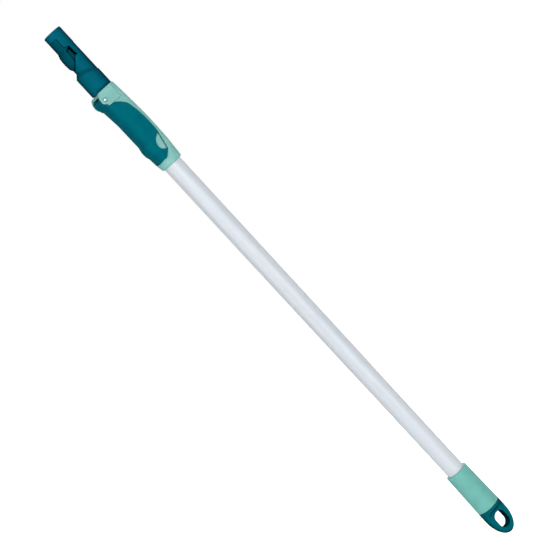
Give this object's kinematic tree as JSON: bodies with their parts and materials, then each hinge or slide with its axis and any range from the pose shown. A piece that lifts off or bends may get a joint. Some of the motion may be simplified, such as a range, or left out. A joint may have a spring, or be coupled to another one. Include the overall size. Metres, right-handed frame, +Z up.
{
  "type": "telescopic pole handle",
  "caption": "Telescopic tube handle with a lever clamp, a click-in tool connector with a sprung latch, a soft grip sleeve and an end cap with a hanging hole",
  "frame": {"origin": "the middle of the hanging hole, on the pole's axis", "axes": "Z up the pole to the connector, X toward the clamp lever, Y along the hanging hole and the lever's pin"},
  "size_m": [0.0365, 0.037, 0.8537],
  "materials": {
    "tube": "satin",
    "light_plastic": "satin",
    "dark_plastic": "satin",
    "connector_plastic": "satin",
    "cap_plastic": "satin",
    "fitting": "matte",
    "steel": "satin"
  },
  "bodies": {
    "handle": {"outer_tube": "tube", "tube_end_bush": "fitting", "clamp_housing": "light_plastic", "mouth_bush": "fitting", "housing_screws": "steel", "lever_pin": "steel", "grip_sleeve": "light_plastic", "end_cap": "cap_plastic", "cap_rivets": "steel"},
    "extension": {"inner_tube": "tube", "lower_guide": "fitting", "lower_guide_pin": "steel", "stop_ring": "fitting", "connector_body": "connector_plastic", "connector_rivet": "steel", "latch_pin": "steel", "latch_spring": "steel"},
    "latch": {"latch_rocker": "connector_plastic"},
    "lever": {"clamp_lever": "dark_plastic"},
    "shoe": {"brake_shoe": "fitting"}
  },
  "joints": [
    {"name": "extension_slide", "type": "slide", "parent": "handle", "child": "extension", "axis": [0, 0, 1], "range_m": [0, 0.5]},
    {"name": "lever_hinge", "type": "hinge", "parent": "handle", "child": "lever", "pos_m": [0.014, 0, 0.7287], "axis": [0, -1, 0], "range_deg": [0, 90]},
    {"name": "shoe_slide", "type": "slide", "parent": "handle", "child": "shoe", "axis": [1, 0, 0], "range_m": [0, 0.0005]},
    {"name": "latch_hinge", "type": "hinge", "parent": "extension", "child": "latch", "pos_m": [0.0015, 0, 0.8195], "axis": [0, 1, 0], "range_deg": [0, 4.5], "stiffness_Nm_per_rad": 0.8, "springref_deg": -8.59, "deforming": ["latch_spring"]}
  ],
  "couplings": [
    {"joint": "shoe_slide", "follows": "lever_hinge", "m_per_rad": 0.00031831}
  ]
}
